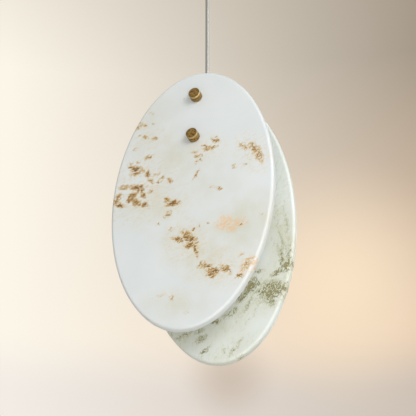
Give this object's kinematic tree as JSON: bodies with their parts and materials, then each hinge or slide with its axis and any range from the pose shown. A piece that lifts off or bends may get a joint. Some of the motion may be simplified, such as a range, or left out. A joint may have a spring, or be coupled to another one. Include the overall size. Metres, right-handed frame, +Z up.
{
  "type": "pendant lamp",
  "caption": "Pendant lamp with upright oval alabaster plates set back to back round a narrow light core, held by round brass knobs and hung from a round canopy by one cord.",
  "frame": {"origin": "middle of the ceiling plate top face, where the lamp fastens to the ceiling", "axes": "+Z up, the front stone plate faces -Y, +X to the right seen from the front"},
  "size_m": [0.2988, 0.127, 0.8257],
  "materials": {
    "alabaster_front": "polished alabaster, white with rust specks",
    "alabaster_rear": "polished alabaster, greenish white with olive veins",
    "antique_brass": "antique brass, turned and burnished",
    "brushed_brass": "aged brass, brushed",
    "canopy_brass": "aged brass, brushed round",
    "steel": "zinc-plated steel",
    "aluminium": "drawn aluminium",
    "led_board": "white solder mask",
    "led_phosphor": "yellow phosphor",
    "opal_acrylic": "opal acrylic, satin",
    "rubber": "black silicone rubber",
    "nylon": "natural nylon",
    "cord_jacket": "clear jacket over tinned screen",
    "lead_white": "white PVC",
    "lead_green": "green and yellow PVC",
    "block_plastic": "grey polyamide",
    "driver_plastic": "white ABS",
    "circuit_board": "green solder mask"
  },
  "bodies": {
    "ceiling_fitting": {"ceiling_plate": "steel", "plate_stud": "steel", "plate_locknut": "steel", "hanging_yoke": "steel", "canopy_nipple": "canopy_brass", "canopy_cup": "canopy_brass", "canopy_lock_screws": "canopy_brass", "swivel_socket": "canopy_brass", "driver_case": "driver_plastic", "driver_cover": "driver_plastic", "driver_board": "circuit_board", "driver_screws": "steel", "mains_terminal_block": "block_plastic", "mains_lead": "lead_white", "earth_lead": "lead_green", "earth_screw": "steel", "upper_inner_lead": "lead_white"},
    "swivel_ring": {"swivel_liner": "nylon"},
    "cord": {"swivel_ball": "steel", "cord_ferrule": "steel", "suspension_cord": "cord_jacket"},
    "lamp": {"lamp_cord_grip": "brushed_brass", "cord_grip_screw": "steel", "core_channel": "brushed_brass", "core_top_cap": "brushed_brass", "core_bottom_cap": "brushed_brass", "stud_upper": "steel", "stud_lower": "steel", "core_crush_tubes": "aluminium", "spacer_sleeves": "brushed_brass", "inner_stone_washers": "rubber", "stone_bushes": "nylon", "front_stone_plate": "alabaster_front", "rear_stone_plate": "alabaster_rear", "front_led_board": "led_board", "rear_led_board": "led_board", "front_led_chips": "led_phosphor", "rear_led_chips": "led_phosphor", "front_light_cover": "opal_acrylic", "rear_light_cover": "opal_acrylic", "board_screws": "steel", "lamp_terminal_block": "block_plastic", "lamp_inner_lead": "lead_white", "front_led_lead": "lead_white", "rear_led_lead": "lead_white"},
    "front_upper_collar": {"front_upper_collar": "antique_brass", "front_upper_washer": "rubber"},
    "front_upper_knob": {"front_upper_knob": "antique_brass"},
    "front_lower_collar": {"front_lower_collar": "antique_brass", "front_lower_washer": "rubber"},
    "front_lower_knob": {"front_lower_knob": "antique_brass"},
    "rear_upper_collar": {"rear_upper_collar": "antique_brass", "rear_upper_washer": "rubber"},
    "rear_upper_knob": {"rear_upper_knob": "antique_brass"},
    "rear_lower_collar": {"rear_lower_collar": "antique_brass", "rear_lower_washer": "rubber"},
    "rear_lower_knob": {"rear_lower_knob": "antique_brass"}
  },
  "joints": [
    {"name": "swing_front_back", "type": "hinge", "parent": "ceiling_fitting", "child": "swivel_ring", "pos_m": [0, 0, -0.05], "axis": [1, 0, 0], "range_deg": [-12, 12]},
    {"name": "swing_side_to_side", "type": "hinge", "parent": "swivel_ring", "child": "cord", "pos_m": [0, 0, -0.05], "axis": [0, 1, 0], "range_deg": [-12, 12]},
    {"name": "lamp_turn", "type": "hinge", "parent": "cord", "child": "lamp", "pos_m": [0, 0, -0.302], "axis": [0, 0, 1], "range_deg": [-180, 180]},
    {"name": "front_upper_knob_travel", "type": "slide", "parent": "lamp", "child": "front_upper_collar", "axis": [0, -1, 0], "range_m": [0, 0.005]},
    {"name": "front_upper_knob_turn", "type": "hinge", "parent": "front_upper_collar", "child": "front_upper_knob", "pos_m": [-0.00245, -0.054, -0.35214], "axis": [0, -1, 0], "range_deg": [0, 1441]},
    {"name": "front_lower_knob_travel", "type": "slide", "parent": "lamp", "child": "front_lower_collar", "axis": [0, -1, 0], "range_m": [0, 0.005]},
    {"name": "front_lower_knob_turn", "type": "hinge", "parent": "front_lower_collar", "child": "front_lower_knob", "pos_m": [-0.00654, -0.054, -0.43574], "axis": [0, -1, 0], "range_deg": [0, 1441]},
    {"name": "rear_upper_knob_travel", "type": "slide", "parent": "lamp", "child": "rear_upper_collar", "axis": [0, 1, 0], "range_m": [0, 0.005]},
    {"name": "rear_upper_knob_turn", "type": "hinge", "parent": "rear_upper_collar", "child": "rear_upper_knob", "pos_m": [-0.00245, 0.054, -0.35214], "axis": [0, 1, 0], "range_deg": [0, 1441]},
    {"name": "rear_lower_knob_travel", "type": "slide", "parent": "lamp", "child": "rear_lower_collar", "axis": [0, 1, 0], "range_m": [0, 0.005]},
    {"name": "rear_lower_knob_turn", "type": "hinge", "parent": "rear_lower_collar", "child": "rear_lower_knob", "pos_m": [-0.00654, 0.054, -0.43574], "axis": [0, 1, 0], "range_deg": [0, 1441]}
  ],
  "couplings": [
    {"joint": "front_upper_knob_turn", "follows": "front_upper_knob_travel", "rad_per_m": 5026.5},
    {"joint": "front_lower_knob_turn", "follows": "front_lower_knob_travel", "rad_per_m": 5026.5},
    {"joint": "rear_upper_knob_turn", "follows": "rear_upper_knob_travel", "rad_per_m": 5026.5},
    {"joint": "rear_lower_knob_turn", "follows": "rear_lower_knob_travel", "rad_per_m": 5026.5}
  ]
}
